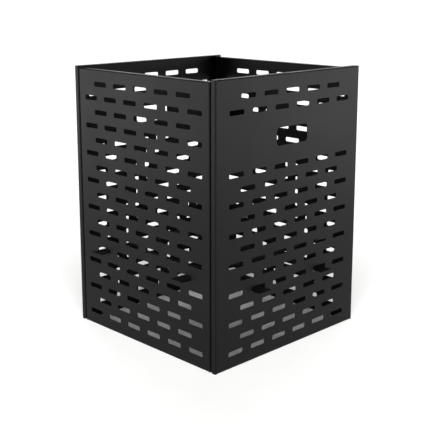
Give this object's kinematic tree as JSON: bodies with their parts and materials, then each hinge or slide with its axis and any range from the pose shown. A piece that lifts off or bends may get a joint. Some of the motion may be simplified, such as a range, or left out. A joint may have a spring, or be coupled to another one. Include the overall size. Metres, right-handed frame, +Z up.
{
  "type": "ashtray bin",
  "caption": "Square, open-topped perforated steel bin housing with slotted walls, hand holes and draw-out flat support bars.",
  "frame": {"origin": "centre of the square footprint, on the ground under the bottom edges", "axes": "+Z up; -Y is the front face with a hand hole; +X is the right face; the front and rear faces have the hand holes"},
  "size_m": [0.44, 0.44, 0.53],
  "materials": {
    "black_powder_coat": "satin",
    "zinc_steel": "zinc plated"
  },
  "bodies": {
    "housing": {"front_panel": "black_powder_coat", "rear_panel": "black_powder_coat", "left_panel": "black_powder_coat", "right_panel": "black_powder_coat", "front_left_bolts": "zinc_steel", "front_left_spacers": "zinc_steel", "front_left_nuts": "zinc_steel", "front_right_bolts": "zinc_steel", "front_right_spacers": "zinc_steel", "front_right_nuts": "zinc_steel", "rear_left_bolts": "zinc_steel", "rear_left_spacers": "zinc_steel", "rear_left_nuts": "zinc_steel", "rear_right_bolts": "zinc_steel", "rear_right_spacers": "zinc_steel", "rear_right_nuts": "zinc_steel"},
    "left_lower_bar": {"left_lower_bar": "black_powder_coat"},
    "right_lower_bar": {"right_lower_bar": "black_powder_coat"},
    "front_upper_bar": {"front_upper_bar": "black_powder_coat"},
    "rear_upper_bar": {"rear_upper_bar": "black_powder_coat"}
  },
  "joints": [
    {"name": "left_lower_bar_draw", "type": "slide", "parent": "housing", "child": "left_lower_bar", "axis": [0, -1, 0], "range_m": [0, 0.4]},
    {"name": "right_lower_bar_draw", "type": "slide", "parent": "housing", "child": "right_lower_bar", "axis": [0, -1, 0], "range_m": [0, 0.4]},
    {"name": "front_upper_bar_draw", "type": "slide", "parent": "housing", "child": "front_upper_bar", "axis": [-1, 0, 0], "range_m": [0, 0.4]},
    {"name": "rear_upper_bar_draw", "type": "slide", "parent": "housing", "child": "rear_upper_bar", "axis": [-1, 0, 0], "range_m": [0, 0.4]}
  ]
}
